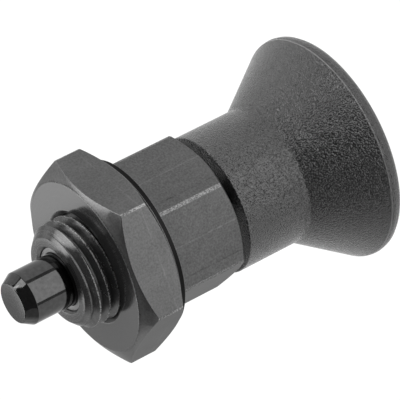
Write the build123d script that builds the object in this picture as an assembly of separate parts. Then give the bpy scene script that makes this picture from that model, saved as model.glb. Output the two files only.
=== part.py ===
from build123d import *
import os
from math import pi, radians, sin, sqrt, tan

# Indexing plunger: a spring-loaded pin in a threaded sleeve, pulled back by a flared grip.
# The part stands on the grip's end face. The origin is at the centre of that face and +Z runs
# along the pin axis to the pin's tip. Lengths are in millimetres.

# ------------------------------------------------------------------ driving dimensions, mm
# Indexing pin: nose, collar and stem, turned in one piece.
pin_diameter = 5.0
pin_protrusion = 4.75           # nose beyond the sleeve's front face, and the pull that hides it
pin_nose_chamfer_length = 1.0
pin_nose_chamfer_width = 0.6
collar_length = 1.2
collar_edge_chamfer = 0.15
stem_diameter = 3.0
stem_grip_depth = 9.0           # length of stem held in the grip
stem_groove_count = 4
stem_groove_spacing = 1.3
stem_groove_width = 0.6
stem_groove_depth = 0.25
stem_end_chamfer = 0.3

# Threaded sleeve with its hexagon, turned from hexagon bar.
thread_diameter = 10.0          # major diameter of the fine thread, drawn as a plain cylinder
thread_pitch = 1.0
thread_length = 7.85            # from the hexagon's seat to the front face
thread_end_chamfer = 0.9
undercut_diameter = 8.6
undercut_length = 1.2
hexagon_across_flats = 13.0
hexagon_length = 7.5
hexagon_chamfer_width = 0.2     # at the rear end only
mouth_chamfer = 0.2
rear_wall = 1.6

# Guide bush, pressed into the sleeve's mouth.
bush_wall = 0.53
bush_length = 3.0
bush_recess = 0.3
bush_edge_chamfer = 0.12

# Locknut.
nut_across_flats = 17.0
nut_thickness = 5.0
nut_chamfer_width = 0.4
nut_washer_diameter = 16.2      # round washer face turned on the rear end
nut_washer_thickness = 0.5
nut_countersink_diameter = 10.8
nut_turn = 6.5                  # degrees from the sleeve's hexagon, as it was tightened

# Compression spring with closed, ground ends.
spring_wire = 0.6
spring_bore_gap = 0.2
spring_active_turns = 5.0
spring_closed_turns = 1.0       # at each end
spring_ground_share = 0.5       # of the wire left at the ground ends

# Grip: a round neck that flares to a rim.
grip_length = 14.1
grip_gap = 0.7                  # between the hexagon and the grip at rest
grip_neck_diameter = 13.15
grip_neck_length = 6.7
grip_flare_diameter = 21.4
grip_rim_diameter = 21.5
grip_rim_band = 0.3
grip_end_radius = 1.1
grip_neck_edge = 0.25

# Fits: radial clearances, and the angles of turned chamfers.
pin_clearance = 0.02
collar_clearance = 0.05
stem_clearance = 0.05
nut_clearance = 0.02
hexagon_chamfer_angle = 30.0

# ------------------------------------------------------------------ sizes and heights that follow
pin_radius = pin_diameter / 2
stem_radius = stem_diameter / 2
bush_bore_radius = pin_radius + pin_clearance
sleeve_bore_radius = bush_bore_radius + bush_wall
collar_radius = sleeve_bore_radius - collar_clearance
thread_radius = thread_diameter / 2
# Where the nut's thread is engaged, both threads are drawn at their pitch diameter.
engaged_radius = thread_radius - thread_pitch * 3 * sqrt(3) / 16
nut_bore_radius = engaged_radius + nut_clearance
nut_countersink_radius = nut_countersink_diameter / 2
nut_countersink_depth = nut_countersink_radius - nut_bore_radius

hexagon_rear_z = grip_length + grip_gap
hexagon_seat_z = hexagon_rear_z + hexagon_length
nut_front_z = hexagon_seat_z + nut_thickness
sleeve_front_z = hexagon_seat_z + thread_length
pin_tip_z = sleeve_front_z + pin_protrusion
bush_front_z = sleeve_front_z - bush_recess
bush_rear_z = bush_front_z - bush_length
collar_rear_z = bush_rear_z - collar_length
spring_seat_z = hexagon_rear_z + rear_wall
stem_end_z = grip_length - stem_grip_depth


def turned(points):
    """Solid of revolution about Z from an outline of (radius, height) corners."""
    outline = make_face(Polyline(*[(radius, 0, height) for radius, height in points], close=True))
    return revolve(outline, Axis.Z)


def hexagon_blank(across_flats, low_z, high_z, chamfer_width, both_ends):
    """Hexagon prism with a turned chamfer, whose width is measured in from the flats."""
    corner = across_flats / sqrt(3)
    circle = across_flats / 2 - chamfer_width
    rise = (corner - circle) * tan(radians(hexagon_chamfer_angle))
    prism = extrude(
        Plane.XY.offset(low_z) * RegularPolygon(across_flats / 2, 6, major_radius=False, rotation=30),
        high_z - low_z,
    )
    if both_ends:
        high_end = [(corner, high_z - rise), (circle, high_z)]
    else:
        high_end = [(corner, high_z)]
    outline = [(0, low_z), (circle, low_z), (corner, low_z + rise)] + high_end + [(0, high_z)]
    return prism & turned(outline)


def make_sleeve():
    """Hexagon, thread undercut, engaged thread and free thread round one stepped bore."""
    hexagon = hexagon_blank(hexagon_across_flats, hexagon_rear_z, hexagon_seat_z,
                            hexagon_chamfer_width, False)
    undercut_radius = undercut_diameter / 2
    undercut_top_z = hexagon_seat_z + undercut_length
    undercut_slope = engaged_radius - undercut_radius
    neck = turned([
        (0, hexagon_seat_z),
        (undercut_radius, hexagon_seat_z),
        (undercut_radius, undercut_top_z - undercut_slope),
        (engaged_radius, undercut_top_z),
        (engaged_radius, nut_front_z),
        (thread_radius, nut_front_z),
        (thread_radius, sleeve_front_z - thread_end_chamfer),
        (thread_radius - thread_end_chamfer, sleeve_front_z),
        (0, sleeve_front_z),
    ])
    stem_hole_radius = stem_radius + stem_clearance
    bore = turned([
        (0, hexagon_rear_z),
        (stem_hole_radius, hexagon_rear_z),
        (stem_hole_radius, spring_seat_z),
        (sleeve_bore_radius, spring_seat_z),
        (sleeve_bore_radius, sleeve_front_z - mouth_chamfer),
        (sleeve_bore_radius + mouth_chamfer, sleeve_front_z),
        (0, sleeve_front_z),
    ])
    return hexagon + neck - bore


def make_guide_bush():
    """Plain ring that guides the pin and stops its collar."""
    return turned([
        (bush_bore_radius, bush_rear_z),
        (sleeve_bore_radius, bush_rear_z),
        (sleeve_bore_radius, bush_front_z - bush_edge_chamfer),
        (sleeve_bore_radius - bush_edge_chamfer, bush_front_z),
        (bush_bore_radius + bush_edge_chamfer, bush_front_z),
        (bush_bore_radius, bush_front_z - bush_edge_chamfer),
    ])


def stem_profile():
    """Outline of the stem's held end, from its face up to the top groove."""
    groove_radius = stem_radius - stem_groove_depth
    points = [(stem_radius - stem_end_chamfer, stem_end_z),
              (stem_radius, stem_end_z + stem_end_chamfer)]
    for groove in range(stem_groove_count):
        low_z = stem_end_z + stem_groove_spacing * (groove + 1)
        high_z = low_z + stem_groove_width
        points += [(stem_radius, low_z),
                   (groove_radius, low_z),
                   (groove_radius, high_z - stem_groove_depth),
                   (stem_radius, high_z)]
    return points


def make_pin():
    """Nose, collar and grooved stem."""
    chamfer_z = pin_tip_z - pin_nose_chamfer_length
    return turned(
        [(0, stem_end_z)]
        + stem_profile()
        + [(stem_radius, collar_rear_z),
           (collar_radius - collar_edge_chamfer, collar_rear_z),
           (collar_radius, collar_rear_z + collar_edge_chamfer),
           (collar_radius, bush_rear_z - collar_edge_chamfer),
           (collar_radius - collar_edge_chamfer, bush_rear_z),
           (pin_radius, bush_rear_z),
           (pin_radius, chamfer_z),
           (pin_radius - pin_nose_chamfer_width, pin_tip_z),
           (0, pin_tip_z)]
    )


def make_locknut():
    """Chamfered hexagon nut on its washer face, countersunk at both ends of its bore."""
    hexagon_low_z = hexagon_seat_z + nut_washer_thickness
    hexagon = hexagon_blank(nut_across_flats, hexagon_low_z, nut_front_z, nut_chamfer_width, True)
    washer_radius = nut_washer_diameter / 2
    washer_face = turned([
        (0, hexagon_seat_z),
        (washer_radius, hexagon_seat_z),
        (washer_radius, hexagon_low_z),
        (0, hexagon_low_z),
    ])
    bore = turned([
        (0, hexagon_seat_z),
        (nut_countersink_radius, hexagon_seat_z),
        (nut_bore_radius, hexagon_seat_z + nut_countersink_depth),
        (nut_bore_radius, nut_front_z - nut_countersink_depth),
        (nut_countersink_radius, nut_front_z),
        (0, nut_front_z),
    ])
    return Rot(0, 0, nut_turn) * (hexagon + washer_face - bore)


def make_spring():
    """Round wire wound with closed ends, ground flat where it bears."""
    mean_radius = sleeve_bore_radius - spring_bore_gap - spring_wire / 2
    ground = spring_wire * (1 - spring_ground_share)
    low_z = spring_seat_z - ground + spring_wire / 2
    high_z = collar_rear_z + ground - spring_wire / 2
    closed_rise = spring_closed_turns * spring_wire
    active_low_z = low_z + closed_rise
    active_high_z = high_z - closed_rise
    active_pitch = (active_high_z - active_low_z) / spring_active_turns
    closed_angle = 360 * spring_closed_turns
    active_angle = 360 * spring_active_turns
    low_end = Pos(0, 0, low_z) * Helix(spring_wire, closed_rise, mean_radius)
    active = Pos(0, 0, active_low_z) * Rot(0, 0, closed_angle) * Helix(
        active_pitch, active_high_z - active_low_z, mean_radius)
    high_end = Pos(0, 0, active_high_z) * Rot(0, 0, closed_angle + active_angle) * Helix(
        spring_wire, closed_rise, mean_radius)
    solid = None
    for run in (low_end, active, high_end):
        section = Plane(origin=run @ 0, z_dir=run % 0) * Circle(spring_wire / 2)
        coil = sweep(section, path=run, is_frenet=True)
        solid = coil if solid is None else solid + coil
    slab = Pos(0, 0, spring_seat_z) * Cylinder(
        mean_radius + spring_wire, collar_rear_z - spring_seat_z,
        align=(Align.CENTER, Align.CENTER, Align.MIN))
    return solid & slab


def make_grip():
    """Neck, straight flare and rounded rim, moulded round the stem's grooved end."""
    neck_radius = grip_neck_diameter / 2
    flare_radius = grip_flare_diameter / 2
    rim_radius = grip_rim_diameter / 2
    neck_low_z = grip_length - grip_neck_length
    band_high_z = grip_end_radius + grip_rim_band
    arc_middle = grip_end_radius * (1 - sin(pi / 4))
    outline = Polyline(
        (rim_radius, 0, grip_end_radius),
        (flare_radius, 0, band_high_z),
        (neck_radius, 0, neck_low_z),
        (neck_radius, 0, grip_length - grip_neck_edge),
        (neck_radius - grip_neck_edge, 0, grip_length),
        (0, 0, grip_length),
        (0, 0, 0),
        (rim_radius - grip_end_radius, 0, 0),
    ) + ThreePointArc(
        (rim_radius - grip_end_radius, 0, 0),
        (rim_radius - arc_middle, 0, arc_middle),
        (rim_radius, 0, grip_end_radius),
    )
    body = revolve(make_face(outline), Axis.Z)
    stem_hole = turned([(0, stem_end_z)] + stem_profile()
                       + [(stem_radius, grip_length), (0, grip_length)])
    return body - stem_hole


parts = {
    "threaded_sleeve": make_sleeve(),
    "guide_bush": make_guide_bush(),
    "indexing_pin": make_pin(),
    "spring": make_spring(),
    "locknut": make_locknut(),
    "grip": make_grip(),
}

os.makedirs("parts", exist_ok=True)
for name, shape in parts.items():
    export_step(shape, f"parts/{name}.step")
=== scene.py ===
from math import cos, pi, radians, sin, tan

import bmesh
import bpy
from mathutils import Matrix, Vector


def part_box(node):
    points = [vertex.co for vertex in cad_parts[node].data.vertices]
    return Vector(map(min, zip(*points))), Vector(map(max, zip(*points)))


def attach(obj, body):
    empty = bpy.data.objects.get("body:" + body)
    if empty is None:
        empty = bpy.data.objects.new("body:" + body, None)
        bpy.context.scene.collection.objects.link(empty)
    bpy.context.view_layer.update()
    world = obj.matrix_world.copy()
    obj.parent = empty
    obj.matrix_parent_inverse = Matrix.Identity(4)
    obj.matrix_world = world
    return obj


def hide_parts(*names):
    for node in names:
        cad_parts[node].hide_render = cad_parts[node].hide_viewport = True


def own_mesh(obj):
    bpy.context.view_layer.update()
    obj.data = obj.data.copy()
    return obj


# Indexing plunger. The pieces are modelled in millimetres and scaled to metres when finished.
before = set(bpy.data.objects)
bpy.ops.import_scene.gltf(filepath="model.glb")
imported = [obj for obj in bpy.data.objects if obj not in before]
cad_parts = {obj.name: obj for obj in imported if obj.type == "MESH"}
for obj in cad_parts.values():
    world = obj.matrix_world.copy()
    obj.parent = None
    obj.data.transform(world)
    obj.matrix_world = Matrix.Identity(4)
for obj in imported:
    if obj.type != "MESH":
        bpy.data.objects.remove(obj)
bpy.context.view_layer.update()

MM = 0.001
LOW, HIGH = 0, 1


def height(node, end):
    """Height in mm of a CAD node's lowest or highest point."""
    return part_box(node)[end][2] / MM


# ------------------------------------------------------------------ heights from the frame, mm
stem_end_z = height("indexing_pin", LOW)
pin_tip_z = height("indexing_pin", HIGH)
grip_top_z = height("grip", HIGH)
hexagon_rear_z = height("threaded_sleeve", LOW)
sleeve_front_z = height("threaded_sleeve", HIGH)
nut_seat_z = height("locknut", LOW)
nut_front_z = height("locknut", HIGH)
bush_rear_z = height("guide_bush", LOW)
bush_front_z = height("guide_bush", HIGH)
spring_rear_z = height("spring", LOW)
grip_rim_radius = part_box("grip")[HIGH][0] / MM

# ------------------------------------------------------------------ sizes, mm
pin_radius = 2.5
pin_chamfer_length = 1.0
pin_chamfer_width = 0.6
collar_length = 1.2
collar_radius = 3.0
collar_edge_radius = 0.15
stem_radius = 1.5
stem_end_chamfer = 0.3
stem_groove_count = 4
stem_groove_depth = 0.25
stem_groove_spacing = 1.3
stem_groove_width = 0.6

sleeve_bore_radius = 3.05
spring_wire = 0.6
spring_bore_gap = 0.2
spring_active_turns = 5
spring_turn_steps = 48
spring_wire_sides = 12
bush_bore_radius = 2.52
stem_hole_radius = 1.55
thread_radius = 5.0
thread_pitch = 1.0
thread_end_chamfer = 0.9
thread_depth = 0.6134           # for a pitch of 1 mm
thread_root_half = 0.0825       # half the width of the groove's flat root
thread_groove_start = -0.27     # above the nut's seat; it also sets where the thread runs out
thread_groove_turns = 10
thread_turn_steps = 96
undercut_radius = 4.3
undercut_length = 1.2
mouth_chamfer = 0.2
hexagon_flats = 13.0
hexagon_corner_radius = 7.41
hexagon_chamfer = 0.2

nut_flats = 17.0
nut_corner_radius = 9.74
nut_chamfer = 0.4
nut_washer_radius = 8.1
nut_washer_thickness = 0.5
nut_countersink_radius = 5.4
nut_clearance = 0.02
nut_turn = 6.5                  # degrees
nut_scratch_height = 2.03       # of the faint ring on the flats, above the nut's seat
chamfer_slope = tan(radians(30))

grip_neck_radius = 6.575
grip_neck_length = 6.7
grip_flare_radius = 10.7
grip_end_radius = 1.1
grip_band = 0.3

TURN_STEPS = 160                # faces round a turned piece
ROUND_STEPS = 4                 # faces across an eased corner of an outline
WELD = 1e-5
SHARP_ANGLE = radians(25)       # edges above it are eased
CREASE_ANGLE = radians(32)      # edges above it are shaded sharp


# ------------------------------------------------------------------ making meshes
def wire(corners, closed=False):
    """Outline in the XZ plane through (radius, height, ease) corners, rounded by their ease."""
    bm = bmesh.new()
    verts = [bm.verts.new((radius, 0, z)) for radius, z, _ in corners]
    followers = verts[1:] + verts[:1] if closed else verts[1:]
    for first, second in zip(verts, followers):
        bm.edges.new((first, second))
    for vert, (_, _, ease) in zip(verts, corners):
        if ease:
            bmesh.ops.bevel(bm, geom=[vert], offset=ease, offset_type="OFFSET",
                            segments=ROUND_STEPS, profile=0.5, affect="VERTICES", material=-1)
    return bm


def spin(bm, turns=1.0, rise=0.0, steps=TURN_STEPS):
    """Turns the outline about Z, climbing by rise in each full turn."""
    count = round(steps * turns)
    bmesh.ops.spin(bm, geom=bm.verts[:] + bm.edges[:], axis=(0, 0, 1), cent=(0, 0, 0),
                   dvec=(0, 0, rise / steps), angle=2 * pi * turns, steps=count,
                   use_merge=rise == 0)
    bmesh.ops.remove_doubles(bm, verts=bm.verts, dist=WELD)
    bmesh.ops.recalc_face_normals(bm, faces=bm.faces)
    return bm


def turned(corners, closed=False):
    """Closed body of revolution: an open outline starts and ends on the axis."""
    return spin(wire(corners, closed))


def cut_flats(bm, across_flats, turn=0.0):
    """Cuts six flats on a turned blank and fills each one with a face."""
    for flat in range(6):
        angle = radians(60 * flat + turn)
        outwards = Vector((cos(angle), sin(angle), 0))
        cut = bmesh.ops.bisect_plane(bm, geom=bm.verts[:] + bm.edges[:] + bm.faces[:], dist=WELD,
                                     plane_co=outwards * across_flats / 2, plane_no=outwards,
                                     clear_outer=True)
        rim = [item for item in cut["geom_cut"] if isinstance(item, bmesh.types.BMEdge)]
        bmesh.ops.edgeloop_fill(bm, edges=rim)
    bmesh.ops.recalc_face_normals(bm, faces=bm.faces)


def ease_edges(bm, width, high_z=1e3):
    """Rounds the sharp edges up to a height."""
    sharp = [edge for edge in bm.edges
             if len(edge.link_faces) == 2
             and edge.calc_face_angle() > SHARP_ANGLE
             and all(vert.co.z <= high_z for vert in edge.verts)]
    bmesh.ops.bevel(bm, geom=sharp, offset=width, offset_type="OFFSET", segments=2, profile=0.5,
                    affect="EDGES", clamp_overlap=True, material=-1)


def finish_mesh(bm, name):
    """New object in metres, smooth but for its sharp edges."""
    bmesh.ops.recalc_face_normals(bm, faces=bm.faces)
    for face in bm.faces:
        face.smooth = True
    for edge in bm.edges:
        if len(edge.link_faces) == 2:
            edge.smooth = edge.calc_face_angle() < CREASE_ANGLE
    bmesh.ops.scale(bm, vec=(MM, MM, MM), verts=bm.verts)
    mesh = bpy.data.meshes.new(name)
    bm.to_mesh(mesh)
    bm.free()
    piece = bpy.data.objects.new(name, mesh)
    bpy.context.scene.collection.objects.link(piece)
    return piece


def even_shading(piece):
    """Lets the large faces keep their own normals beside small rounded edges."""
    normals = piece.modifiers.new("even_shading", "WEIGHTED_NORMAL")
    normals.keep_sharp = True
    normals.weight = 100


def cut_with(blank, tool):
    """The blank's bmesh with the tool's bmesh cut out of it."""
    objects = []
    for label, source in (("blank", blank), ("tool", tool)):
        mesh = bpy.data.meshes.new(label)
        source.to_mesh(mesh)
        source.free()
        item = bpy.data.objects.new(label, mesh)
        bpy.context.scene.collection.objects.link(item)
        objects.append(item)
    body, cutter = objects
    boolean = body.modifiers.new("cut", "BOOLEAN")
    boolean.operation = "DIFFERENCE"
    boolean.solver = "EXACT"
    boolean.object = cutter
    ready = body.evaluated_get(bpy.context.evaluated_depsgraph_get())
    result = bmesh.new()
    result.from_mesh(ready.data)
    for item in objects:
        mesh = item.data
        bpy.data.objects.remove(item)
        bpy.data.meshes.remove(mesh)
    return result


# ------------------------------------------------------------------ the pieces
def make_pin():
    """Indexing pin: grooved stem, collar and polished nose, turned in one piece."""
    groove_radius = stem_radius - stem_groove_depth
    collar_rear_z = bush_rear_z - collar_length
    corners = [
        (0, stem_end_z, 0),
        (stem_radius - stem_end_chamfer, stem_end_z, 0.05),
        (stem_radius, stem_end_z + stem_end_chamfer, 0.05),
    ]
    for groove in range(stem_groove_count):
        low_z = stem_end_z + stem_groove_spacing * (groove + 1)
        high_z = low_z + stem_groove_width
        corners += [(stem_radius, low_z, 0), (groove_radius, low_z, 0),
                    (groove_radius, high_z - stem_groove_depth, 0), (stem_radius, high_z, 0)]
    corners += [
        (stem_radius, collar_rear_z, 0),
        (collar_radius, collar_rear_z, collar_edge_radius),
        (collar_radius, bush_rear_z, collar_edge_radius),
        (pin_radius, bush_rear_z, 0),
        (pin_radius, pin_tip_z - pin_chamfer_length, 0.06),
        (pin_radius - pin_chamfer_width, pin_tip_z, 0.09),
        (0, pin_tip_z, 0),
    ]
    return finish_mesh(turned(corners), "pin")


def make_bush():
    """Guide bush: plain ring with broken edges."""
    corners = [
        (bush_bore_radius, bush_rear_z, 0),
        (sleeve_bore_radius, bush_rear_z, 0),
        (sleeve_bore_radius, bush_front_z, 0.1),
        (bush_bore_radius, bush_front_z, 0.12),
    ]
    return finish_mesh(turned(corners, closed=True), "bush")


def sleeve_blank():
    """Turned blank of the sleeve with its bore, before flats and thread."""
    corner = hexagon_corner_radius
    rear_radius = hexagon_flats / 2 - hexagon_chamfer
    rear_rise = (corner - rear_radius) * chamfer_slope
    undercut_top_z = nut_seat_z + undercut_length
    face_radius = thread_radius - thread_end_chamfer
    return turned([
        (stem_hole_radius, hexagon_rear_z, 0.1),
        (rear_radius, hexagon_rear_z, 0.06),
        (corner, hexagon_rear_z + rear_rise, 0),
        (corner, nut_seat_z, 0),
        (undercut_radius, nut_seat_z, 0),
        (undercut_radius, undercut_top_z - thread_radius + undercut_radius, 0),
        (thread_radius, undercut_top_z, 0),
        (thread_radius, sleeve_front_z - thread_end_chamfer, 0),
        (face_radius, sleeve_front_z, 0.05),
        (sleeve_bore_radius + mouth_chamfer, sleeve_front_z, 0.05),
        (sleeve_bore_radius, sleeve_front_z - mouth_chamfer, 0),
        (sleeve_bore_radius, spring_rear_z, 0),
        (stem_hole_radius, spring_rear_z, 0),
    ], closed=True)


def thread_groove():
    """V tool that cuts the fine right-hand thread, swept along its helix."""
    root_radius = thread_radius - thread_depth * thread_pitch
    mouth_radius = thread_radius + 0.05
    root_half = thread_root_half * thread_pitch
    mouth_half = root_half + (mouth_radius - root_radius) * chamfer_slope
    start_z = nut_seat_z + thread_groove_start
    profile = [
        (root_radius, start_z - root_half, 0),
        (root_radius, start_z + root_half, 0),
        (mouth_radius, start_z + mouth_half, 0),
        (mouth_radius, start_z - mouth_half, 0),
    ]
    bm = wire(profile, closed=True)
    spin(bm, turns=thread_groove_turns, rise=thread_pitch, steps=thread_turn_steps)
    ends = [edge for edge in bm.edges if edge.is_boundary]
    bmesh.ops.holes_fill(bm, edges=ends, sides=0)
    bmesh.ops.recalc_face_normals(bm, faces=bm.faces)
    return bm


def make_sleeve():
    """Threaded sleeve: hexagon, undercut, fine thread and stepped bore in one piece."""
    blank = sleeve_blank()
    cut_flats(blank, hexagon_flats)
    ease_edges(blank, 0.05, high_z=nut_seat_z + 0.01)
    return finish_mesh(cut_with(blank, thread_groove()), "sleeve")


def make_nut():
    """Locknut with turned chamfers, on its round washer face."""
    circle = nut_flats / 2 - nut_chamfer
    rise = (nut_corner_radius - circle) * chamfer_slope
    hexagon_low_z = nut_seat_z + nut_washer_thickness
    bore_radius = thread_radius + nut_clearance
    sink = nut_countersink_radius - bore_radius
    bm = turned([
        (nut_countersink_radius, nut_seat_z, 0),
        (nut_washer_radius, nut_seat_z, 0.04),
        (nut_washer_radius, hexagon_low_z, 0),
        (nut_corner_radius, hexagon_low_z + rise, 0),
        (nut_corner_radius, nut_front_z - rise, 0),
        (circle, nut_front_z, 0.02),
        (nut_countersink_radius, nut_front_z, 0.05),
        (bore_radius, nut_front_z - sink, 0),
        (bore_radius, nut_seat_z + sink, 0),
    ], closed=True)
    cut_flats(bm, nut_flats, nut_turn)
    ease_edges(bm, 0.06)
    return finish_mesh(bm, "nut")


def make_grip():
    """Grip: neck, straight flare and rim, moulded round the stem."""
    neck_low_z = grip_top_z - grip_neck_length
    return finish_mesh(turned([
        (stem_radius, grip_top_z, 0.08),
        (grip_neck_radius, grip_top_z, 0.1),
        (grip_neck_radius, neck_low_z, 0.12),
        (grip_flare_radius, grip_end_radius + grip_band, 0.06),
        (grip_rim_radius, grip_end_radius, 0.1),
        (grip_rim_radius, 0, grip_end_radius),
        (0, 0, 0),
        (0, stem_end_z, 0),
        (stem_radius, stem_end_z, 0),
    ], closed=True), "grip_body")


def make_spring():
    """Compression spring: round wire wound in a helix, with closed and ground ends."""
    mean_radius = sleeve_bore_radius - spring_bore_gap - spring_wire / 2
    collar_rear_z = bush_rear_z - collar_length
    active_rise = (collar_rear_z - spring_rear_z - 2 * spring_wire) / spring_active_turns
    bm = bmesh.new()
    upright = Matrix.Rotation(pi / 2, 4, "X")
    bmesh.ops.create_circle(bm, segments=spring_wire_sides, radius=spring_wire / 2,
                            matrix=Matrix.Translation((mean_radius, 0, spring_rear_z)) @ upright)
    section = bm.verts[:] + bm.edges[:]
    for turns, rise in ((1, spring_wire), (spring_active_turns, active_rise), (1, spring_wire)):
        run = bmesh.ops.spin(bm, geom=section, axis=(0, 0, 1), cent=(0, 0, 0),
                             dvec=(0, 0, rise / spring_turn_steps),
                             angle=2 * pi * turns, steps=spring_turn_steps * turns)
        section = run["geom_last"]
    ends = [edge for edge in bm.edges if edge.is_boundary]
    bmesh.ops.holes_fill(bm, edges=ends, sides=0)
    bmesh.ops.recalc_face_normals(bm, faces=bm.faces)
    for ground_z, outwards in ((spring_rear_z, -1), (collar_rear_z, 1)):
        cut = bmesh.ops.bisect_plane(bm, geom=bm.verts[:] + bm.edges[:] + bm.faces[:], dist=WELD,
                                     plane_co=(0, 0, ground_z), plane_no=(0, 0, outwards),
                                     clear_outer=True)
        rim = [item for item in cut["geom_cut"] if isinstance(item, bmesh.types.BMEdge)]
        bmesh.ops.holes_fill(bm, edges=rim, sides=0)
    return finish_mesh(bm, "spring_coil")


pin = make_pin()
bush = make_bush()
sleeve = make_sleeve()
nut = make_nut()
grip = make_grip()
spring = make_spring()

for piece, node, body, slot in (
    (pin, "indexing_pin", "plunger", "polished_pin_steel"),
    (bush, "guide_bush", "sleeve", "bush_steel"),
    (sleeve, "threaded_sleeve", "sleeve", "blackened_steel"),
    (nut, "locknut", "locknut", "nut_steel"),
    (grip, "grip", "plunger", "grip_plastic"),
    (spring, "spring", "spring", "spring_wire"),
):
    even_shading(piece)
    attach(piece, body)
    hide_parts(node)

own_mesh(spring)


# ------------------------------------------------------------------ shader helpers
def add(tree, kind, inputs=None, **settings):
    """New shader node. An input is a value or another node's output."""
    node = tree.nodes.new("ShaderNode" + kind)
    for name, value in settings.items():
        setattr(node, name, value)
    for name, value in (inputs or {}).items():
        if isinstance(value, bpy.types.NodeSocket):
            tree.links.new(value, node.inputs[name])
        else:
            node.inputs[name].default_value = value
    return node


def calculate(tree, operation, *values, clamp=False):
    """Output of a math node."""
    node = add(tree, "Math", dict(enumerate(values)), operation=operation, use_clamp=clamp)
    return node.outputs[0]


def spread(tree, value, from_low, from_high, to_low, to_high):
    """Output of a clamped map range node."""
    return add(tree, "MapRange", {"Value": value, "From Min": from_low, "From Max": from_high,
                                  "To Min": to_low, "To Max": to_high}).outputs[0]


def new_group(name, inputs):
    """Node group with float inputs and one float output, and what its maker needs to fill it."""
    tree = bpy.data.node_groups.new(name, "ShaderNodeTree")
    for label, value in inputs.items():
        socket = tree.interface.new_socket(label, in_out="INPUT", socket_type="NodeSocketFloat")
        socket.default_value = value
    tree.interface.new_socket("Value", in_out="OUTPUT", socket_type="NodeSocketFloat")
    dials = tree.nodes.new("NodeGroupInput").outputs
    result = tree.nodes.new("NodeGroupOutput").inputs[0]
    place = add(tree, "VectorMath", {0: add(tree, "TexCoord").outputs["Object"], "Scale": 1 / MM},
                operation="SCALE").outputs[0]
    return tree, dials, place, result


def round_axis(tree, place):
    """Distance from the axis, then X, Y and Z, all in mm."""
    x, y, z = add(tree, "SeparateXYZ", {0: place}).outputs
    squares = calculate(tree, "MULTIPLY_ADD", x, x, calculate(tree, "MULTIPLY", y, y))
    return calculate(tree, "SQRT", squares), x, y, z


def turning_marks_group():
    """Fine rings left by the lathe, on faces and round walls alike."""
    tree, dials, place, result = new_group("turning_marks", {"Lines per mm": 8.0})
    radius, _, _, z = round_axis(tree, place)
    path = calculate(tree, "MULTIPLY_ADD", z, 1.618, radius)
    rings = add(tree, "TexNoise", {"W": path, "Scale": dials["Lines per mm"], "Detail": 3.0,
                                   "Roughness": 0.65}, noise_dimensions="1D")
    tree.links.new(rings.outputs[0], result)
    return tree


def drawn_lines_group():
    """Fine lines along the bar, left by the drawing die."""
    tree, dials, place, result = new_group("drawn_lines", {"Lines per mm": 4.0})
    stretched = add(tree, "VectorMath", {0: place, 1: (1, 1, 0.04)}, operation="MULTIPLY")
    lines = add(tree, "TexNoise", {"Vector": stretched.outputs[0], "Scale": dials["Lines per mm"],
                                   "Detail": 2.0, "Roughness": 0.6})
    tree.links.new(lines.outputs[0], result)
    return tree


def grain_group():
    """Even fine grain of a blackened or moulded skin."""
    tree, dials, place, result = new_group("grain", {"Grains per mm": 6.0, "Detail": 2.0})
    grain = add(tree, "TexNoise", {"Vector": place, "Scale": dials["Grains per mm"],
                                   "Detail": dials["Detail"], "Roughness": 0.6})
    tree.links.new(grain.outputs[0], result)
    return tree


def clouds_group():
    """Slow unevenness of the blackening."""
    tree, dials, place, result = new_group("clouds", {"Clouds per mm": 0.4})
    clouds = add(tree, "TexNoise", {"Vector": place, "Scale": dials["Clouds per mm"], "Detail": 3.0,
                                    "Roughness": 0.55, "Distortion": 0.6})
    tree.links.new(clouds.outputs[0], result)
    return tree


def wear_and_highlight_strips_group():
    """Bare, rough bright strips at one radius: rubbed hexagon corners, and on the thread's crests
    also a painted highlight of the crest edges.
    """
    tree, dials, place, result = new_group("wear_and_highlight_strips", {"Corner radius": 7.4, "Width": 0.05})
    radius, _, _, _ = round_axis(tree, place)
    start = calculate(tree, "SUBTRACT", dials["Corner radius"], dials["Width"])
    strip = spread(tree, radius, start, dials["Corner radius"], 0.0, 1.0)
    rough = add(tree, "TexNoise", {"Vector": place, "Scale": 7.0, "Detail": 3.0, "Roughness": 0.75})
    patchy = spread(tree, rough.outputs[0], 0.44, 0.58, 0.0, 1.0)
    tree.links.new(calculate(tree, "MULTIPLY", strip, patchy), result)
    return tree


def flat_lines_group():
    """Faint line along each flat of the bar, at an offset from the flat's middle."""
    tree, dials, place, result = new_group("flat_lines", {"Offset": 0.23, "Width": 0.09})
    radius, x, y, _ = round_axis(tree, place)
    angle = calculate(tree, "WRAP", calculate(tree, "ARCTAN2", y, x), radians(30), radians(-30))
    across = calculate(tree, "MULTIPLY", radius, calculate(tree, "SINE", angle))
    away = calculate(tree, "ABSOLUTE", calculate(tree, "SUBTRACT", across, dials["Offset"]))
    share = calculate(tree, "DIVIDE", away, dials["Width"])
    line = calculate(tree, "SUBTRACT", 1.0, share, clamp=True)
    gaps = add(tree, "TexNoise", {"Vector": place, "Scale": 0.9, "Detail": 2.0})
    broken = spread(tree, gaps.outputs[0], 0.35, 0.6, 0.25, 1.0)
    tree.links.new(calculate(tree, "MULTIPLY", line, broken), result)
    return tree


turning_marks = turning_marks_group()
drawn_lines = drawn_lines_group()
grain = grain_group()
clouds = clouds_group()
wear_and_highlight_strips = wear_and_highlight_strips_group()
flat_lines = flat_lines_group()


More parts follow.
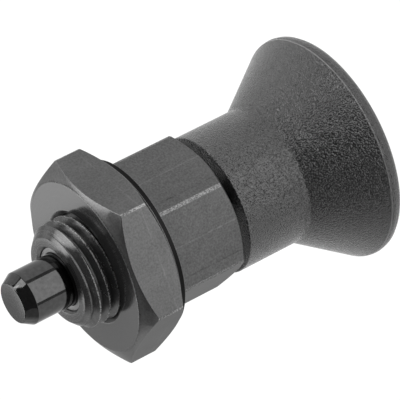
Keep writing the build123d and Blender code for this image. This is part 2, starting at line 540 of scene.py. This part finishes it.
# ------------------------------------------------------------------ finishes
class Finish:
    """Principled material whose tone, roughness and relief are varied by the shared groups."""

    def __init__(self, name, metallic, specular=0.5, edge_tint=1.0, turned=0.0):
        self.material = bpy.data.materials.new(name)
        self.material.use_nodes = True
        self.tree = self.material.node_tree
        self.shader = self.tree.nodes["Principled BSDF"]
        self.shader.inputs["Metallic"].default_value = metallic
        self.shader.inputs["Specular IOR Level"].default_value = specular
        self.shader.inputs["Specular Tint"].default_value = (edge_tint, edge_tint, edge_tint, 1)
        self.shader.inputs["Anisotropic"].default_value = turned
        self.shader.inputs["Anisotropic Rotation"].default_value = 0.25

    def effect(self, group, **dials):
        """Places a shared effect with this finish's own values."""
        node = self.tree.nodes.new("ShaderNodeGroup")
        node.node_tree = group
        for label, value in dials.items():
            node.inputs[label.replace("_", " ")].default_value = value
        return node.outputs[0]

    def calculate(self, operation, *values):
        return calculate(self.tree, operation, *values)

    def shift(self, base, effect, low, high):
        """Adds to a value, by low where the effect is 0.3 and high where it is 0.7."""
        return self.calculate("ADD", base, spread(self.tree, effect, 0.3, 0.7, low, high))

    def band(self, low_z, high_z, soft=0.02):
        """1 between two heights in mm, with soft edges."""
        return self.calculate("SUBTRACT", self.zone(low_z - soft, low_z + soft),
                              self.zone(high_z - soft, high_z + soft))

    def blend(self, share, first, second):
        """First where share is 0, second where it is 1."""
        return add(self.tree, "Mix", {"Factor": share, "A": first, "B": second}).outputs["Result"]

    def zone(self, low_z, high_z):
        """0 below the first height in mm, 1 above the second."""
        place = add(self.tree, "TexCoord").outputs["Object"]
        up = add(self.tree, "SeparateXYZ", {0: place}).outputs[2]
        return spread(self.tree, up, low_z * MM, high_z * MM, 0.0, 1.0)

    def tone(self, value):
        """Grey base colour."""
        grey = add(self.tree, "CombineColor", {0: value, 1: value, 2: value})
        self.tree.links.new(grey.outputs[0], self.shader.inputs["Base Color"])

    def roughness(self, value):
        self.tree.links.new(value, self.shader.inputs["Roughness"])

    def relief(self, height, distance):
        """Bump, by distance in mm where the height is 1."""
        bump = add(self.tree, "Bump", {"Height": height, "Distance": distance * MM,
                                       "Strength": 1.0})
        self.tree.links.new(bump.outputs[0], self.shader.inputs["Normal"])


def polished_black():
    """Ground and blackened pin."""
    finish = Finish("polished_black", 1.0, edge_tint=0.85)
    rings = finish.effect(turning_marks, Lines_per_mm=14.0)
    skin = finish.effect(grain, Grains_per_mm=3.0)
    finish.tone(finish.shift(finish.shift(0.075, skin, -0.012, 0.012), rings, -0.004, 0.004))
    finish.roughness(finish.shift(0.06, skin, -0.015, 0.02))
    finish.relief(rings, 0.0004)
    return finish.material


def turned_black(name, tone, roughness, corner_radius, turned=0.8, streaks=0.02):
    """Blackened steel with the lathe's rings and a bright rough strip at one radius: wear, and on
    the thread's crests also a painted highlight.
    """
    finish = Finish(name, 0.88, edge_tint=0.6, turned=turned)
    rings = finish.effect(turning_marks, Lines_per_mm=9.0)
    skin = finish.effect(grain, Grains_per_mm=6.0)
    wear_and_highlight = finish.effect(wear_and_highlight_strips, Corner_radius=corner_radius, Width=0.03)
    varied = finish.shift(finish.shift(tone, skin, -streaks, streaks), rings, -streaks, streaks)
    # Where the strip lies the tone goes to 0.6: wear, and on the thread's crests a painted
    # highlight.
    finish.tone(finish.blend(wear_and_highlight, varied, 0.6))
    uneven = finish.shift(finish.shift(roughness, rings, -2 * streaks, 2 * streaks),
                          skin, -streaks, streaks)
    finish.roughness(finish.blend(wear_and_highlight, uneven, 0.45))
    finish.relief(finish.calculate("MULTIPLY_ADD", skin, 0.4, rings), 0.08 * streaks)
    return finish.material


def bar_black():
    """Blackened hexagon bar with faint lines along its flats and rubbed corners."""
    finish = Finish("bar_black", 1.0, edge_tint=0.6)
    lines = finish.effect(drawn_lines, Lines_per_mm=3.5)
    skin = finish.effect(grain, Grains_per_mm=6.0)
    cloud = finish.effect(clouds, Clouds_per_mm=0.3)
    wear_and_highlight = finish.effect(wear_and_highlight_strips, Corner_radius=hexagon_corner_radius, Width=0.022)
    middle = finish.effect(flat_lines, Offset=0.23, Width=0.1)
    side = finish.effect(flat_lines, Offset=-2.6, Width=0.1)
    tone = finish.shift(0.114, cloud, -0.008, 0.008)
    tone = finish.shift(finish.shift(tone, skin, -0.03, 0.03), lines, -0.003, 0.003)
    tone = finish.calculate("MULTIPLY_ADD", middle, 0.05, tone)
    tone = finish.calculate("MULTIPLY_ADD", side, -0.04, tone)
    finish.tone(finish.blend(wear_and_highlight, tone, 0.33))
    finish.roughness(finish.blend(wear_and_highlight, finish.shift(0.38, skin, -0.04, 0.06), 0.55))
    relief = finish.calculate("MULTIPLY_ADD", skin, 0.6, finish.calculate("MULTIPLY", lines, 0.15))
    relief = finish.calculate("MULTIPLY_ADD", wear_and_highlight, 1.2, relief)
    finish.relief(finish.calculate("MULTIPLY_ADD", middle, 0.8, relief), 0.006)
    return finish.material


def nut_flat_black():
    """Fine-grained flats of the locknut, with painted shade on its washer face's edge, and rubbed
    corners.
    """
    finish = Finish("nut_flat_black", 1.0, edge_tint=0.6)
    skin = finish.effect(grain, Grains_per_mm=6.0)
    cloud = finish.effect(clouds, Clouds_per_mm=0.3)
    wear_and_highlight = finish.effect(wear_and_highlight_strips, Corner_radius=nut_corner_radius, Width=0.016)
    washer_top_z = nut_seat_z + nut_washer_thickness
    # Mask of the painted shade: 0 on the washer face's edge, 1 above it.
    above_washer_shade = finish.zone(washer_top_z - 0.05, washer_top_z + 0.02)
    tone = finish.shift(finish.shift(0.124, cloud, -0.01, 0.01), skin, -0.026, 0.026)
    scratch_z = nut_seat_z + nut_scratch_height
    ring = finish.band(scratch_z - 0.06, scratch_z + 0.06, soft=0.03)
    scratch = finish.calculate("MULTIPLY", ring, spread(finish.tree, cloud, 0.35, 0.55, 0.0, 1.0))
    tone = finish.calculate("MULTIPLY_ADD", scratch, 0.025, tone)
    # Below the washer face's top the flats' tone is 0.012: painted shade between the nut and the
    # hexagon.
    finish.tone(finish.blend(above_washer_shade, 0.012, finish.blend(wear_and_highlight, tone, 0.42)))
    finish.roughness(finish.blend(wear_and_highlight, finish.shift(0.34, skin, -0.04, 0.06), 0.5))
    relief = finish.calculate("MULTIPLY_ADD", wear_and_highlight, 1.2, finish.calculate("MULTIPLY", skin, 0.6))
    finish.relief(relief, 0.006)
    return finish.material


def moulded_grip():
    """Dark grey plastic with a fine moulded grain and a painted highlight line at the rim."""
    finish = Finish("moulded_grip", 0.0, specular=0.95)
    skin = finish.effect(grain, Grains_per_mm=8.0, Detail=0.0)
    cloud = finish.effect(clouds, Clouds_per_mm=0.2)
    rim_highlight_z = grip_end_radius + grip_band
    # Painted highlight: a light line round the rim's edge, where the flare meets the band.
    line = finish.band(rim_highlight_z - 0.05, rim_highlight_z + 0.05)
    tone = finish.shift(finish.shift(0.02, cloud, -0.003, 0.003), skin, -0.016, 0.016)
    finish.tone(finish.calculate("MULTIPLY_ADD", line, 0.15, tone))
    finish.roughness(finish.shift(0.2, skin, -0.04, 0.05))
    finish.relief(skin, 0.095)
    return finish.material


def drawn_wire():
    """Bright drawn spring wire."""
    finish = Finish("drawn_wire", 1.0)
    lines = finish.effect(drawn_lines, Lines_per_mm=9.0)
    cloud = finish.effect(clouds, Clouds_per_mm=0.5)
    finish.tone(finish.shift(finish.shift(0.42, cloud, -0.05, 0.05), lines, -0.04, 0.04))
    finish.roughness(finish.shift(0.28, lines, -0.05, 0.08))
    return finish.material


def share_out(piece, materials, choose):
    """Gives a piece several materials, with the one for each face chosen by its number."""
    for material in materials:
        piece.data.materials.append(material)
    for face in piece.data.polygons:
        face.material_index = choose(face)


def pin_faces(face):
    """0 for the ground and chamfered walls, 1 for the flat tip."""
    return int(face.normal.z > 0.95)


def sleeve_faces(face):
    """0 for the hexagon, 1 for the thread and the front."""
    return int(face.center.z > nut_seat_z * MM)


def nut_faces(face):
    """0 for the flats and other upright walls, 1 for chamfers, 2 for the turned end faces."""
    return int(abs(face.normal.z) > 0.1) + int(abs(face.normal.z) > 0.97)


share_out(pin, (polished_black(),
                turned_black("pin_end_black", 0.08, 0.24, pin_radius, turned=0.0, streaks=0.006)),
          pin_faces)
bush.data.materials.append(turned_black("bush_black", 0.24, 0.32, sleeve_bore_radius))
# The front's strip at the thread's radius brightens the crests: worn crests, and a painted
# highlight of their edges.
share_out(sleeve, (bar_black(), turned_black("front_black", 0.128, 0.24, thread_radius)),
          sleeve_faces)
share_out(nut, (nut_flat_black(),
                turned_black("nut_cone_black", 0.165, 0.32, nut_corner_radius,
                             turned=0.4, streaks=0.03),
                turned_black("nut_face_black", 0.152, 0.14, nut_corner_radius,
                             turned=0.2, streaks=0.006)),
          nut_faces)
grip.data.materials.append(moulded_grip())
spring.data.materials.append(drawn_wire())


# ------------------------------------------------------------------ floor, light and camera
FLOOR_RADIUS = 0.6
FLOOR_SEEN_SHARE = 0.92         # plain white to the camera; the rest shows the shadow
FLOOR_MIRRORED_SHARE = 0.8      # plain white in reflections
FLOOR_GLOW = 1.1
BACKDROP_DIRECTION = (0.156, 0.988, 0)
ROOM_LIGHT = 0.07
BACKDROP_LIGHT = 0.76
MIRRORED_EXTRA = 0.03           # added to both in reflections
CARD_STEPS = 48


def light_paths(tree):
    """1 for rays from the camera or through glass, and 1 for rays reflected by a gloss."""
    path = add(tree, "LightPath").outputs
    seen = calculate(tree, "MAXIMUM", path["Is Camera Ray"], path["Is Transmission Ray"])
    return seen, path["Is Glossy Ray"]


def make_floor():
    """Pale floor, white to the camera and bright in reflections, that keeps the object's shadow."""
    bm = bmesh.new()
    bmesh.ops.create_circle(bm, cap_ends=True, segments=96, radius=FLOOR_RADIUS)
    mesh = bpy.data.meshes.new("floor")
    bm.to_mesh(mesh)
    bm.free()
    floor = bpy.data.objects.new("floor", mesh)
    bpy.context.scene.collection.objects.link(floor)
    material = bpy.data.materials.new("pale_floor")
    material.use_nodes = True
    tree = material.node_tree
    tree.nodes.clear()
    seen, mirrored = light_paths(tree)
    share = calculate(tree, "MAXIMUM", calculate(tree, "MULTIPLY", seen, FLOOR_SEEN_SHARE),
                      calculate(tree, "MULTIPLY", mirrored, FLOOR_MIRRORED_SHARE))
    diffuse = add(tree, "BsdfDiffuse", {"Color": (0.8, 0.8, 0.8, 1)})
    glow = add(tree, "Emission", {"Strength": FLOOR_GLOW})
    mix = add(tree, "MixShader", {"Fac": share, 1: diffuse.outputs[0], 2: glow.outputs[0]})
    add(tree, "OutputMaterial", {"Surface": mix.outputs[0]})
    mesh.materials.append(material)


def make_world():
    """White to the camera; a pale backdrop behind the object and a dim room around it."""
    world = bpy.data.worlds.new("studio")
    bpy.context.scene.world = world
    world.use_nodes = True
    tree = world.node_tree
    seen, mirrored = light_paths(tree)
    direction = add(tree, "TexCoord").outputs["Generated"]
    towards_back = add(tree, "VectorMath", {0: direction, 1: BACKDROP_DIRECTION},
                       operation="DOT_PRODUCT")
    behind = spread(tree, towards_back.outputs["Value"], 0.2, 0.6, 0.0, 1.0)
    up = add(tree, "SeparateXYZ", {0: direction}).outputs[2]
    low = spread(tree, up, 0.5, 0.65, 1.0, 0.0)
    backdrop = calculate(tree, "MULTIPLY", behind, low)
    room = spread(tree, backdrop, 0.0, 1.0, ROOM_LIGHT, BACKDROP_LIGHT)
    bright = calculate(tree, "MULTIPLY_ADD", mirrored, MIRRORED_EXTRA, room)
    strength = calculate(tree, "MAXIMUM", seen, bright)
    tree.links.new(strength, tree.nodes["Background"].inputs["Strength"])
    tree.nodes["Background"].inputs["Color"].default_value = (1, 1, 1, 1)


def softbox(name, azimuth, elevation, distance, size_x, size_y, brightness, aim=(0, 0, 0.015)):
    """Area lamp facing the object, placed by angles in degrees and metres, of a given radiance."""
    turn, tilt = radians(azimuth), radians(elevation)
    towards = Vector((cos(turn) * cos(tilt), sin(turn) * cos(tilt), sin(tilt)))
    data = bpy.data.lights.new(name, "AREA")
    data.shape = "RECTANGLE"
    data.size = size_x
    data.size_y = size_y
    data.energy = brightness * pi * size_x * size_y
    lamp = bpy.data.objects.new(name, data)
    lamp.location = Vector(aim) + towards * distance
    lamp.rotation_euler = towards.to_track_quat("Z", "Y").to_euler()
    lamp.visible_camera = False
    bpy.context.scene.collection.objects.link(lamp)
    return lamp


def glowing(name, strength):
    """Plain emission material for a card."""
    material = bpy.data.materials.new(name)
    material.use_nodes = True
    tree = material.node_tree
    tree.nodes.clear()
    glow = add(tree, "Emission", {"Strength": strength})
    add(tree, "OutputMaterial", {"Surface": glow.outputs[0]})
    return material


def make_reflected_card(name, inner, outer, azimuths, brightness, ends):
    """Card bent round the axis between two (radius, height) circles, seen only in reflections.

    The four azimuths bound its bright middle and the two strips at its ends."""
    bm = bmesh.new()
    step_angle = (azimuths[3] - azimuths[0]) / CARD_STEPS
    columns = []
    for step in range(CARD_STEPS + 1):
        turn = radians(azimuths[0] + step_angle * step)
        columns.append([bm.verts.new((radius * cos(turn), radius * sin(turn), z))
                        for radius, z in (inner, outer)])
    for step, (first, second) in enumerate(zip(columns, columns[1:])):
        face = bm.faces.new((first[0], second[0], second[1], first[1]))
        middle = azimuths[0] + step_angle * (step + 0.5)
        face.material_index = int(azimuths[1] < middle < azimuths[2])
    mesh = bpy.data.meshes.new(name)
    bm.to_mesh(mesh)
    bm.free()
    card = bpy.data.objects.new(name, mesh)
    card.visible_camera = card.visible_diffuse = card.visible_shadow = False
    bpy.context.scene.collection.objects.link(card)
    mesh.materials.append(glowing(name + "_ends", ends))
    mesh.materials.append(glowing(name + "_middle", brightness))


camera_azimuth = -8.366
camera_elevation = 26.005
camera_roll = -116.834
camera_distance = 0.32810
camera_aim = Vector((0.000671, -0.000099, 0.014327))
camera_lens = 332.09


def make_camera():
    """Camera turned about its own line of sight, so that the part lies across the picture."""
    turn, tilt = radians(camera_azimuth), radians(camera_elevation)
    forward = Vector((-sin(turn) * cos(tilt), cos(turn) * cos(tilt), -sin(tilt)))
    level = forward.cross(Vector((0, 0, 1))).normalized()
    right = Matrix.Rotation(radians(-camera_roll), 3, forward) @ level
    up = right.cross(forward)
    data = bpy.data.cameras.new("camera")
    data.lens = camera_lens
    data.sensor_width = 36
    camera = bpy.data.objects.new("camera", data)
    camera.matrix_world = Matrix.Translation(camera_aim - forward * camera_distance) @ Matrix(
        (right, up, -forward)).transposed().to_4x4()
    bpy.context.scene.collection.objects.link(camera)
    bpy.context.scene.camera = camera


make_floor()
make_world()
# Lamps: azimuth and elevation in degrees, distance, width, height, brightness.
softbox("key", -6, 50, 0.40, 0.32, 0.20, 2.9)
softbox("back", 75, 47, 0.40, 0.26, 0.17, 3.6)
softbox("side", -34, 28, 0.40, 0.20, 0.14, 2.8)
softbox("left_card", 156, 26, 0.30, 0.42, 0.18, 0.25)
fill = softbox("fill", -78, 28, 0.45, 0.40, 0.36, 1.7)
fill.visible_glossy = False
softbox("back_card", 82, 26, 0.08, 0.024, 0.03, 0.85, aim=(0.018, 0, 0.029))
make_reflected_card("front_card", (0.066, 0.001), (0.066, 0.013), (-153, -142, -55, -42),
                    brightness=2.0, ends=0.3)
make_reflected_card("floor_card", (0.016, 0.0003), (0.045, 0.0003), (-136, -128, -66, -58),
                    brightness=2.1, ends=1.3)
make_reflected_card("side_card", (0.25, 0.030), (0.25, 0.168), (-14, -10, 44, 50),
                    brightness=0.95, ends=0.6)
make_reflected_card("neck_card", (0.021, 0.0002), (0.036, 0.0002), (-62, -54, 20, 28),
                    brightness=1.25, ends=1.0)
make_camera()

bpy.context.scene.view_settings.view_transform = "Standard"
